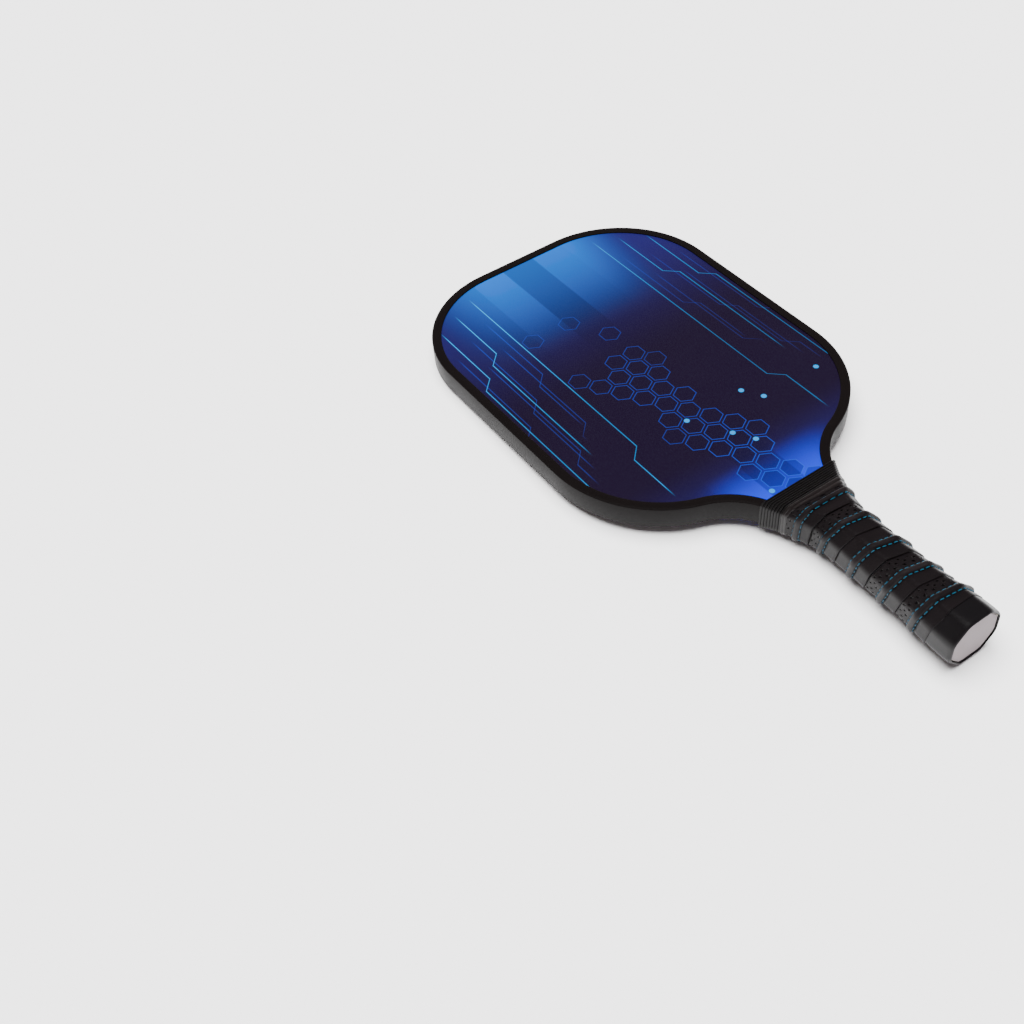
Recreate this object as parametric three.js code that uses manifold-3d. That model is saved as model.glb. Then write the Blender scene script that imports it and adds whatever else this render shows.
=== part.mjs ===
// A pickleball paddle, built up as it is made: a honeycomb core between two printed faces,
// an edge guard round the head, and a handle of two halves under a stitched wrap.
//
// Lengths are in millimetres. Distances along the paddle are measured from the butt end
// towards the head, and heights from the middle of the paddle's thickness.

import * as THREE from 'three';
import { mergeVertices } from 'three/addons/utils/BufferGeometryUtils.js';
import Module from 'manifold-3d';

const wasm = await Module();
wasm.setup();

const degrees = (angle) => (angle * Math.PI) / 180;

// ---------------------------------------------------------------- overall sizes
const overallLength = 400;
const headWidth = 200;
const headCornerRadius = 70;
const shoulderRadius = 75; // outward curve where the head starts to narrow
const throatRadius = 45; // inward curve that leads down to the handle
const throatHalfWidth = 26.7; // half the paddle's width at the top of the collar
const throatSlope = degrees(29); // of the throat's edge there, from the handle's line
const collarTop = 129; // where the collar ends and the playing face begins

// ---------------------------------------------------------------- flat panel
const coreThickness = 11;
const scrimThickness = 0.25;
const skinThickness = 0.5;
const filmThickness = 0.125;
const cellSize = 16; // across the flats, wall middle to wall middle
const cellWall = 0.7;
const coreRim = 1.5; // solid border round the cells
const tongueHalfWidth = 9.5; // the panel's tongue runs down inside the handle
const tongueStart = 5;
const tongueShoulder = 117; // where the tongue widens into the head

// ---------------------------------------------------------------- edge guard
const guardLip = 6; // how far the guard reaches over each face
const guardLipThickness = 0.7;
const guardLipEdge = 0.45; // bevel on the lip's inner edge
const guardWall = 2;
const guardCornerRadius = 2.6;
const guardTapeThickness = 0.5;
const guardUnderCollar = 3; // length of guard that the collar covers
const faceClearance = 0.125; // between a face and the guard's lip

// ---------------------------------------------------------------- handle and grip
const gripHalfWidth = 15.6;
const gripHalfHeight = 14.7;
const buttHalfWidth = 17.9;
const buttHalfHeight = 16.25;
const bevelWidthShare = 0.52; // of the half width that each long bevel takes
const bevelHeightShare = 0.59; // of the half height
const buttFlareStart = 6;
const buttFlareEnd = 46;
const throatFlareStart = 92;
const collarBevel = 2.2;
const handleTop = 119;
const tapeThickness = 1.5;
const backingThickness = 0.8;
const gripTop = 108; // where the finishing tape takes over from the wrap

// ---------------------------------------------------------------- butt cap
const capLength = 12.6; // the part of the cap that shows
const capSkirtEnd = 22; // the part under the wrap
const capEndWall = 4.5;
const capEdge = 0.8;
const discMargin = 1.7; // rim of cap left round the disc
const discThickness = 0.8;
const discPadThickness = 0.3;
const discSink = 0.2; // the disc's face below the cap's rim
const stapleAt = 17.5;
const stapleWidth = 8;
const stapleWire = 0.6;
const stapleLeg = 5;

// ---------------------------------------------------------------- collar and finishing tape
const collarLength = 12.5;
const collarThickness = 1.4;
const collarRibs = 6;
const ribDepth = 0.45;
const finishingTapeSink = 0.4; // its surface below the wrap's

// ---------------------------------------------------------------- clearances
const glueGap = 0.2; // between glued or wrapped layers
const fitGap = 0.3; // round pieces that are pushed into place
const cutThrough = 2; // how far a cutting shape runs past what it cuts

// ---------------------------------------------------------------- smoothness
const throatSteps = 7;
const shoulderSteps = 10;
const cornerSteps = 12;
const guardCornerSteps = 3;
const stationSpacing = 4;

// ---------------------------------------------------------------- sizes that follow
const panelHalf = coreThickness / 2 + scrimThickness + skinThickness + filmThickness;
const guardInnerHalf = panelHalf + faceClearance;
const guardHalf = guardInnerHalf + guardLipThickness;
const panelInset = guardWall + guardTapeThickness + 2 * glueGap;
const neckRadii = shoulderRadius + throatRadius;
const neckReach = headWidth / 2 - throatHalfWidth;
const neckAngle = Math.acos((shoulderRadius + throatRadius * Math.cos(throatSlope) - neckReach) / neckRadii);
const shoulderCentre = new THREE.Vector2(
  headWidth / 2 - shoulderRadius,
  collarTop + neckRadii * Math.sin(neckAngle) - throatRadius * Math.sin(throatSlope),
);
const throatCentre = new THREE.Vector2(
  shoulderCentre.x + neckRadii * Math.cos(neckAngle),
  shoulderCentre.y - neckRadii * Math.sin(neckAngle),
);
const cornerCentre = new THREE.Vector2(headWidth / 2 - headCornerRadius, overallLength - headCornerRadius);
const guardEndAngle = Math.asin((collarTop - guardUnderCollar - throatCentre.y) / throatRadius);
const collarHalfWidth = throatHalfWidth + collarThickness + fitGap + glueGap;
const collarHalfHeight = guardHalf + collarThickness + fitGap;
const throatFlareLength = collarTop - throatFlareStart;
const throatPower = (Math.tan(throatSlope) * throatFlareLength) / (collarHalfWidth - gripHalfWidth);
const backingInset = tapeThickness + glueGap;
const handleInset = backingInset + backingThickness + glueGap;
const collarBottom = collarTop - collarLength;

// ---------------------------------------------------------------- solids
function closedGeometry(points, triangles) {
  const corners = triangles.flat().map((index) => points[index]);
  let volume = 0;
  for (let i = 0; i < corners.length; i += 3) {
    volume += corners[i].dot(corners[i + 1].clone().cross(corners[i + 2]));
  }
  const outward = volume > 0 ? triangles : triangles.map(([a, b, c]) => [a, c, b]);
  const geometry = new THREE.BufferGeometry();
  const positions = points.flatMap((point) => point.toArray());
  geometry.setAttribute('position', new THREE.Float32BufferAttribute(positions, 3));
  geometry.setIndex(outward.flat());
  return geometry;
}

function toManifold(geometry) {
  const bare = geometry.clone();
  bare.deleteAttribute('normal');
  bare.deleteAttribute('uv');
  const merged = mergeVertices(bare);
  const mesh = new wasm.Mesh({
    numProp: 3,
    vertProperties: new Float32Array(merged.attributes.position.array),
    triVerts: new Uint32Array(merged.index.array),
  });
  return new wasm.Manifold(mesh);
}

function fromManifold(solid) {
  const mesh = solid.getMesh();
  const geometry = new THREE.BufferGeometry();
  geometry.setAttribute('position', new THREE.BufferAttribute(new Float32Array(mesh.vertProperties), 3));
  geometry.setIndex(new THREE.BufferAttribute(new Uint32Array(mesh.triVerts), 1));
  return geometry;
}

// Joins rings of equal length, one after the other, into a solid with a flat end at each end.
function loft(rings) {
  const size = rings[0].length;
  const triangles = [];
  for (let ring = 0; ring + 1 < rings.length; ring += 1) {
    for (let corner = 0; corner < size; corner += 1) {
      const next = (corner + 1) % size;
      const here = ring * size;
      const there = here + size;
      triangles.push([here + corner, here + next, there + next]);
      triangles.push([here + corner, there + next, there + corner]);
    }
  }
  const last = (rings.length - 1) * size;
  for (let corner = 1; corner + 1 < size; corner += 1) {
    triangles.push([0, corner + 1, corner]);
    triangles.push([last, last + corner, last + corner + 1]);
  }
  return closedGeometry(rings.flat(), triangles);
}

function box(halfX, fromY, toY, fromZ, toZ) {
  const geometry = new THREE.BoxGeometry(2 * halfX, toY - fromY, toZ - fromZ);
  return geometry.translate(0, (fromY + toY) / 2, (fromZ + toZ) / 2);
}

// A flat plate of one outline, from one height to another.
function plate(outline, fromZ, toZ) {
  const geometry = new THREE.ExtrudeGeometry(new THREE.Shape(outline), {
    depth: toZ - fromZ,
    bevelEnabled: false,
  });
  return geometry.translate(0, 0, fromZ);
}

// ---------------------------------------------------------------- outline of the head
const mirrored = (points) => points.map((point) => new THREE.Vector2(-point.x, point.y)).reverse();

function steppedAngles(from, to, steps) {
  return Array.from({ length: steps + 1 }, (_, step) => from + ((to - from) * step) / steps);
}

// The right half of the head's edge, from the throat up to the top, set in by a depth.
function halfOutline(depth) {
  const throat = steppedAngles(guardEndAngle, neckAngle, throatSteps).map(
    (angle) =>
      new THREE.Vector2(
        throatCentre.x - (throatRadius + depth) * Math.cos(angle),
        throatCentre.y + (throatRadius + depth) * Math.sin(angle),
      ),
  );
  const shoulder = steppedAngles(neckAngle, 0, shoulderSteps).map(
    (angle) =>
      new THREE.Vector2(
        shoulderCentre.x + (shoulderRadius - depth) * Math.cos(angle),
        shoulderCentre.y - (shoulderRadius - depth) * Math.sin(angle),
      ),
  );
  const corner = steppedAngles(0, Math.PI / 2, cornerSteps).map(
    (angle) =>
      new THREE.Vector2(
        cornerCentre.x + (headCornerRadius - depth) * Math.cos(angle),
        cornerCentre.y + (headCornerRadius - depth) * Math.sin(angle),
      ),
  );
  return [...throat, ...shoulder.slice(1), ...corner];
}

// The whole edge, from the right of the throat over the top to the left of the throat.
function headOutline(depth) {
  const right = halfOutline(depth);
  return [...right, ...mirrored(right)];
}

// The head and the tongue, made bigger all round by an amount.
function panelOutline(grow) {
  const tongue = [
    new THREE.Vector2(tongueHalfWidth + grow, tongueStart - grow),
    new THREE.Vector2(tongueHalfWidth + grow, tongueShoulder - grow),
  ];
  const right = [...tongue, ...halfOutline(panelInset - grow)];
  return [...right, ...mirrored(right)];
}

// Sweeps a closed section round the head's edge, from one side of the throat to the other.
// The section goes clockwise with depth to the right and height upwards.
function sweepRoundHead(clockwiseSection) {
  const section = clockwiseSection.toReversed();
  const rails = section.map(({ depth, height }) =>
    headOutline(depth).map((point) => new THREE.Vector3(point.x, point.y, height)),
  );
  const size = section.length;
  const stops = rails[0].length;
  const points = [];
  for (let stop = 0; stop < stops; stop += 1) {
    rails.forEach((rail) => points.push(rail[stop]));
  }
  const triangles = [];
  for (let stop = 0; stop + 1 < stops; stop += 1) {
    for (let corner = 0; corner < size; corner += 1) {
      const next = (corner + 1) % size;
      const here = stop * size;
      const there = here + size;
      triangles.push([here + corner, here + next, there + next]);
      triangles.push([here + corner, there + next, there + corner]);
    }
  }
  const flat = section.map(({ depth, height }) => new THREE.Vector2(depth, height));
  const last = (stops - 1) * size;
  for (const [a, b, c] of THREE.ShapeUtils.triangulateShape(flat, [])) {
    triangles.push([a, c, b]);
    triangles.push([last + a, last + b, last + c]);
  }
  return closedGeometry(points, triangles);
}

// ---------------------------------------------------------------- flat panel pieces
function honeycombCore() {
  const half = coreThickness / 2;
  const cells = [];
  const hexRadius = (cellSize - cellWall) / Math.sqrt(3);
  const rowSpacing = (cellSize * Math.sqrt(3)) / 2;
  const rows = Math.ceil(overallLength / rowSpacing);
  const columns = Math.ceil(headWidth / 2 / cellSize);
  for (let row = 0; row <= rows; row += 1) {
    const shift = row % 2 ? cellSize / 2 : 0;
    for (let column = -columns; column <= columns; column += 1) {
      const corners = Array.from({ length: 6 }, (_, corner) => {
        const angle = degrees(30 + 60 * corner);
        return new THREE.Vector2(
          column * cellSize + shift + hexRadius * Math.cos(angle),
          row * rowSpacing + hexRadius * Math.sin(angle),
        );
      });
      cells.push(new THREE.Shape(corners));
    }
  }
  const cellPrisms = new THREE.ExtrudeGeometry(cells, {
    depth: coreThickness + 2 * cutThrough,
    bevelEnabled: false,
  }).translate(0, 0, -half - cutThrough);
  const insideRim = plate(panelOutline(-coreRim), -half - cutThrough, half + cutThrough);
  const holes = toManifold(cellPrisms).intersect(toManifold(insideRim));
  return fromManifold(toManifold(plate(panelOutline(0), -half, half)).subtract(holes));
}

// A printed film over the head. A line of corners follows the guard's lip, so that the playing
// face is a surface of its own.
function printFilm(fromZ, toZ) {
  const outer = headOutline(panelInset);
  const inner = headOutline(guardLip + glueGap);
  const size = outer.length;
  const levels = [fromZ, toZ];
  const points = levels.flatMap((z) => [...outer, ...inner].map((point) => new THREE.Vector3(point.x, point.y, z)));
  const upper = 2 * size;
  const triangles = [];
  for (let corner = 0; corner < size; corner += 1) {
    const next = (corner + 1) % size;
    triangles.push([corner, size + next, next]);
    triangles.push([corner, size + corner, size + next]);
    triangles.push([upper + corner, upper + next, upper + size + next]);
    triangles.push([upper + corner, upper + size + next, upper + size + corner]);
    triangles.push([corner, next, upper + next]);
    triangles.push([corner, upper + next, upper + corner]);
  }
  for (const [a, b, c] of THREE.ShapeUtils.triangulateShape(inner, [])) {
    triangles.push([size + a, size + c, size + b]);
    triangles.push([upper + size + a, upper + size + b, upper + size + c]);
  }
  return closedGeometry(points, triangles);
}

function edgeGuard() {
  const corner = steppedAngles(0, Math.PI / 2, guardCornerSteps).map((angle) => ({
    depth: guardCornerRadius * (1 - Math.cos(angle)),
    height: guardHalf - guardCornerRadius * (1 - Math.sin(angle)),
  }));
  const upper = [
    ...corner,
    { depth: guardLip - guardLipEdge, height: guardHalf },
    { depth: guardLip, height: guardHalf - guardLipEdge },
    { depth: guardLip, height: guardInnerHalf },
    { depth: guardWall, height: guardInnerHalf },
  ];
  const lower = upper.map(({ depth, height }) => ({ depth, height: -height })).reverse();
  return sweepRoundHead([...upper, ...lower]);
}

function edgeGuardTape() {
  const near = guardWall + glueGap;
  const far = near + guardTapeThickness;
  const reach = guardInnerHalf - fitGap;
  return sweepRoundHead([
    { depth: near, height: -reach },
    { depth: near, height: reach },
    { depth: far, height: reach },
    { depth: far, height: -reach },
  ]);
}

// ---------------------------------------------------------------- the handle's section
const mix = (from, to, share) => from + (to - from) * share;
const share = (at, from, to) => Math.min(Math.max((at - from) / (to - from), 0), 1);
const ease = (amount) => (1 - Math.cos(Math.PI * amount)) / 2;

// The outer size of the grip at a distance from the butt end.
function gripProfile(at) {
  const butt = 1 - ease(share(at, buttFlareStart, buttFlareEnd));
  const neck = share(at, throatFlareStart, collarTop);
  const plainWidth = mix(gripHalfWidth, buttHalfWidth, butt);
  const plainHeight = mix(gripHalfHeight, buttHalfHeight, butt);
  return {
    halfWidth: mix(plainWidth, collarHalfWidth, neck ** throatPower),
    halfHeight: mix(plainHeight, collarHalfHeight, ease(neck)),
    bevelWidth: mix(bevelWidthShare * plainWidth, collarBevel, neck),
    bevelHeight: mix(bevelHeightShare * plainHeight, collarBevel, neck),
  };
}

// An eight-sided ring of a profile, with every side set in by the same amount.
function ring({ halfWidth, halfHeight, bevelWidth, bevelHeight }, at, inset) {
  const bevelLength = Math.hypot(bevelWidth, bevelHeight);
  const normalX = bevelHeight / bevelLength;
  const normalZ = bevelWidth / bevelLength;
  const reach = normalX * halfWidth + normalZ * (halfHeight - bevelHeight) - inset;
  const side = halfWidth - inset;
  const top = halfHeight - inset;
  const topFlat = (reach - normalZ * top) / normalX;
  const sideFlat = (reach - normalX * side) / normalZ;
  const quarter = [
    [side, sideFlat],
    [topFlat, top],
  ];
  const corners = [
    ...quarter,
    ...quarter.map(([x, z]) => [-x, z]).reverse(),
    ...quarter.map(([x, z]) => [-x, -z]),
    ...quarter.map(([x, z]) => [x, -z]).reverse(),
  ];
  return corners.map(([x, z]) => new THREE.Vector3(x, at, z));
}

const gripRing = (at, inset) => ring(gripProfile(at), at, inset);
const handleRing = (at, inset) => ring(gripProfile(Math.max(at, buttFlareEnd)), at, inset);

// Places for a loft's rings. They are the same round places on every layer, so that the layers
// follow each other.
function stations(from, to) {
  const between = [];
  for (let at = Math.ceil(from / stationSpacing) * stationSpacing; at < to; at += stationSpacing) {
    if (at > from) between.push(at);
  }
  return [from, ...between, to];
}

// A sleeve round the handle between two depths under the grip's outer surface.
function sleeve(from, to, outerInset, innerInset) {
  const outer = loft(stations(from, to).map((at) => gripRing(at, outerInset)));
  const inner = loft(stations(from - cutThrough, to + cutThrough).map((at) => gripRing(at, innerInset)));
  return fromManifold(toManifold(outer).subtract(toManifold(inner)));
}

// ---------------------------------------------------------------- handle pieces
// A wire staple pushed into the cap's skirt from the front (side 1) or the back (side -1).
function staple(side, grow) {
  const skirtTop = gripProfile(stapleAt).halfHeight - handleInset;
  const crownTop = skirtTop - 2 * glueGap;
  const crownBottom = crownTop - stapleWire;
  const halfWire = stapleWire / 2 + grow;
  const span = (low, high) => [Math.min(side * low, side * high), Math.max(side * low, side * high)];
  const crown = box(
    stapleWidth / 2 + grow,
    stapleAt - halfWire,
    stapleAt + halfWire,
    ...span(crownBottom - grow, grow > 0 ? crownTop + cutThrough : crownTop),
  );
  const leg = (x) =>
    box(halfWire, stapleAt - halfWire, stapleAt + halfWire, ...span(crownTop - stapleLeg - grow, crownTop)).translate(
      x,
      0,
      0,
    );
  const legPlace = (stapleWidth - stapleWire) / 2;
  return toManifold(crown).add(toManifold(leg(legPlace))).add(toManifold(leg(-legPlace)));
}

function handleHalf(side) {
  const bar = toManifold(loft(stations(tongueStart, handleTop).map((at) => handleRing(at, handleInset))));
  const reach = gripHalfHeight + cutThrough;
  const far = side * reach;
  const near = (side * glueGap) / 2;
  const halfSpace = box(headWidth / 2, 0, overallLength, Math.min(near, far), Math.max(near, far));
  const pocketHalf = panelHalf - filmThickness + glueGap;
  const pocket = plate(panelOutline(glueGap), -pocketHalf, pocketHalf);
  const openEnd = box(tongueHalfWidth + glueGap, 0, tongueStart + cutThrough, -pocketHalf, pocketHalf);
  const solid = bar
    .intersect(toManifold(halfSpace))
    .subtract(toManifold(pocket))
    .subtract(toManifold(openEnd))
    .subtract(staple(side, fitGap));
  return fromManifold(solid);
}

function buttCap() {
  const body = loft([
    gripRing(0, capEdge),
    gripRing(capEdge, 0),
    ...stations(buttFlareStart, capLength).map((at) => gripRing(at, 0)),
  ]);
  const skirt = loft(stations(capEndWall, capSkirtEnd).map((at) => gripRing(at, handleInset)));
  const recessDepth = discSink + discThickness + glueGap + discPadThickness + glueGap;
  const recess = loft([gripRing(-cutThrough, discMargin), gripRing(recessDepth, discMargin)]);
  const cup = loft([
    handleRing(capEndWall, handleInset - glueGap),
    handleRing(capSkirtEnd + cutThrough, handleInset - glueGap),
  ]);
  const solid = toManifold(body)
    .add(toManifold(skirt))
    .subtract(toManifold(recess))
    .subtract(toManifold(cup))
    .subtract(staple(1, fitGap))
    .subtract(staple(-1, fitGap));
  return fromManifold(solid);
}

function buttDisc() {
  const inset = discMargin + glueGap;
  return loft([gripRing(discSink, inset), gripRing(discSink + discThickness, inset)]);
}

function buttDiscPad() {
  const inset = discMargin + 2 * glueGap;
  const from = discSink + discThickness + glueGap;
  return loft([gripRing(from, inset), gripRing(from + discPadThickness, inset)]);
}

function gripCollar() {
  const pitch = collarLength / collarRibs;
  const rings = [];
  for (let rib = 0; rib < collarRibs; rib += 1) {
    const start = collarBottom + rib * pitch;
    rings.push(gripRing(start, ribDepth));
    rings.push(gripRing(start + 0.3 * pitch, 0));
    rings.push(gripRing(start + 0.7 * pitch, 0));
  }
  rings.push(gripRing(collarTop, ribDepth));
  const inner = loft(
    stations(collarBottom - cutThrough, collarTop + cutThrough).map((at) => {
      const profile = gripProfile(at);
      const beyond = Math.max(at - collarTop, 0);
      profile.halfWidth += beyond * Math.tan(throatSlope);
      return ring(profile, at, collarThickness);
    }),
  );
  return fromManifold(toManifold(loft(rings)).subtract(toManifold(inner)));
}

// ---------------------------------------------------------------- finishes
const finishes = {
  corePlastic: { color: 0xe6e8e4, roughness: 0.6, metalness: 0 },
  scrimCloth: { color: 0xd2d6d0, roughness: 0.9, metalness: 0 },
  glassLaminate: { color: 0xb9b48f, roughness: 0.5, metalness: 0 },
  printedFilm: { color: 0x1a1450, roughness: 0.35, metalness: 0 },
  guardRubber: { color: 0x17171a, roughness: 0.5, metalness: 0 },
  whiteTape: { color: 0xe9e9e2, roughness: 0.8, metalness: 0 },
  handleFoam: { color: 0xc9b88e, roughness: 0.85, metalness: 0 },
  capPlastic: { color: 0x121214, roughness: 0.4, metalness: 0 },
  stapleSteel: { color: 0xb8bcc0, roughness: 0.3, metalness: 1 },
  discPlastic: { color: 0xa9a2a6, roughness: 0.5, metalness: 0 },
  feltBacking: { color: 0x3a3a3c, roughness: 0.95, metalness: 0 },
  gripLeather: { color: 0x1b191b, roughness: 0.45, metalness: 0 },
  finishingTape: { color: 0x1d1b1d, roughness: 0.5, metalness: 0 },
  collarRubber: { color: 0x161618, roughness: 0.55, metalness: 0 },
};

const paddle = new THREE.Group();

function addPiece(name, geometry, finish) {
  const mesh = new THREE.Mesh(geometry, new THREE.MeshStandardMaterial(finishes[finish]));
  mesh.name = name;
  paddle.add(mesh);
}

// ---------------------------------------------------------------- assembly
addPiece('honeycomb_core', honeycombCore(), 'corePlastic');

const scrimBase = coreThickness / 2;
const skinBase = scrimBase + scrimThickness;
const filmBase = skinBase + skinThickness;
const headAndTongue = panelOutline(0);
addPiece('front_scrim', plate(headAndTongue, scrimBase, skinBase), 'scrimCloth');
addPiece('back_scrim', plate(headAndTongue, -skinBase, -scrimBase), 'scrimCloth');
addPiece('front_face_skin', plate(headAndTongue, skinBase, filmBase), 'glassLaminate');
addPiece('back_face_skin', plate(headAndTongue, -filmBase, -skinBase), 'glassLaminate');
addPiece('front_print_film', printFilm(filmBase, panelHalf), 'printedFilm');
addPiece('back_print_film', printFilm(-panelHalf, -filmBase), 'printedFilm');
addPiece('edge_guard_tape', edgeGuardTape(), 'whiteTape');
addPiece('edge_guard', edgeGuard(), 'guardRubber');

addPiece('front_handle_half', handleHalf(1), 'handleFoam');
addPiece('back_handle_half', handleHalf(-1), 'handleFoam');
addPiece('butt_cap', buttCap(), 'capPlastic');
addPiece('front_cap_staple', fromManifold(staple(1, 0)), 'stapleSteel');
addPiece('back_cap_staple', fromManifold(staple(-1, 0)), 'stapleSteel');
addPiece('butt_disc_pad', buttDiscPad(), 'whiteTape');
addPiece('butt_disc', buttDisc(), 'discPlastic');

const wrapStart = capLength + glueGap;
addPiece('grip_backing', sleeve(wrapStart, gripTop, backingInset, backingInset + backingThickness), 'feltBacking');
addPiece('grip_tape', sleeve(wrapStart, gripTop, 0, tapeThickness), 'gripLeather');
addPiece(
  'finishing_tape',
  sleeve(gripTop + glueGap, collarBottom - glueGap, finishingTapeSink, handleInset - glueGap),
  'finishingTape',
);
addPiece('grip_collar', gripCollar(), 'collarRubber');

// The origin is under the middle of the paddle, at the height of the butt's underside.
paddle.position.set(0, -overallLength / 2, buttHalfHeight);

export default paddle;
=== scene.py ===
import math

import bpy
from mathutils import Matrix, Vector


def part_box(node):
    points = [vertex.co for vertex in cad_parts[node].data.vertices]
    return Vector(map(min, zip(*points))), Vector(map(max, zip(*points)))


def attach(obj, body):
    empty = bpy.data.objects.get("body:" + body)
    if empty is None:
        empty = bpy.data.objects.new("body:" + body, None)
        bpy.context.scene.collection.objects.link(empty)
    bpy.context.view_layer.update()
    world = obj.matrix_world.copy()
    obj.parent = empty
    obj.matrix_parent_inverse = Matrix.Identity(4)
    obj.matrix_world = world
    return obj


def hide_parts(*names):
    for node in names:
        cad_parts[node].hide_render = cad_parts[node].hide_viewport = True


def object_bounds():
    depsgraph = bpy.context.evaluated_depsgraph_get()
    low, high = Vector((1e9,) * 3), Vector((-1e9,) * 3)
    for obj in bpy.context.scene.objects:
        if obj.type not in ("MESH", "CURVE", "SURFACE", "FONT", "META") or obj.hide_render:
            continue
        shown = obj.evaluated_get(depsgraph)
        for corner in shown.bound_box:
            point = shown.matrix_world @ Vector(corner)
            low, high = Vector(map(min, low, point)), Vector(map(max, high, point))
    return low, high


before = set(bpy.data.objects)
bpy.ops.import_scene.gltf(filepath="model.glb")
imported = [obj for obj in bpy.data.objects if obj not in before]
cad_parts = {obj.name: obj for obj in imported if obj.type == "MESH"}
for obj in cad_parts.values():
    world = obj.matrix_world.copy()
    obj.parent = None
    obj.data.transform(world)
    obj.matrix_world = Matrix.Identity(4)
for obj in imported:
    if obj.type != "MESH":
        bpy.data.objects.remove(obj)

# A pickleball paddle: printed playing faces, a moulded edge guard, a ribbed throat collar and a
# short eight-sided handle under a stitched wrap.
#
# Lengths are in millimetres and become metres at the last step. "Station" is the distance along the
# paddle from the butt end, and heights on the panel are measured from the middle of its thickness.

cad_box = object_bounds()
MM = 0.001
LOW, HIGH = cad_box
BUTT_END = LOW[1]
PANEL_MIDDLE = (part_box("honeycomb_core")[0].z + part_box("honeycomb_core")[1].z) / 2
LENGTH = (HIGH[1] - LOW[1]) / MM
HEAD_HALF_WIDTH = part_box("edge_guard")[1].x / MM


def at_paddle(x, station, height):
    """A place on the paddle, in millimetres, as a point of the frame in metres."""
    return Vector((x * MM, BUTT_END + station * MM, PANEL_MIDDLE + height * MM))


# ============================================================================ shader toolkit

class Wire:
    """A value inside a finish. Arithmetic on it adds the Math nodes that do the same."""

    def __init__(self, finish, socket):
        self.finish = finish
        self.socket = socket

    def maths(self, operation, *values):
        return self.finish.node("ShaderNodeMath", {"operation": operation}, *values)

    def __add__(self, other):
        return self.maths("ADD", self, other)

    def __radd__(self, other):
        return self.maths("ADD", other, self)

    def __sub__(self, other):
        return self.maths("SUBTRACT", self, other)

    def __rsub__(self, other):
        return self.maths("SUBTRACT", other, self)

    def __mul__(self, other):
        return self.maths("MULTIPLY", self, other)

    def __rmul__(self, other):
        return self.maths("MULTIPLY", other, self)

    def __truediv__(self, other):
        return self.maths("DIVIDE", self, other)

    def __pow__(self, other):
        return self.maths("POWER", self, other)

    def __abs__(self):
        return self.maths("ABSOLUTE", self)

    def less_than(self, other):
        return self.maths("LESS_THAN", self, other)

    def least(self, other):
        return self.maths("MINIMUM", self, other)

    def most(self, other):
        return self.maths("MAXIMUM", self, other)

    def between(self, low, high):
        """The value held between two limits."""
        return self.least(high).most(low)

    def wrapped(self, half):
        """The value folded into the range from -half to half."""
        return self.maths("WRAP", self, half, -half)

    def rise(self, start, end):
        """0 below start and 1 above end, with a smooth step between."""
        settings = {"interpolation_type": "SMOOTHSTEP"}
        return self.finish.node("ShaderNodeMapRange", settings, self, start, end, 0.0, 1.0)

    def sine(self):
        return self.maths("SINE", self)

    def rounded(self):
        return self.maths("ROUND", self)


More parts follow.
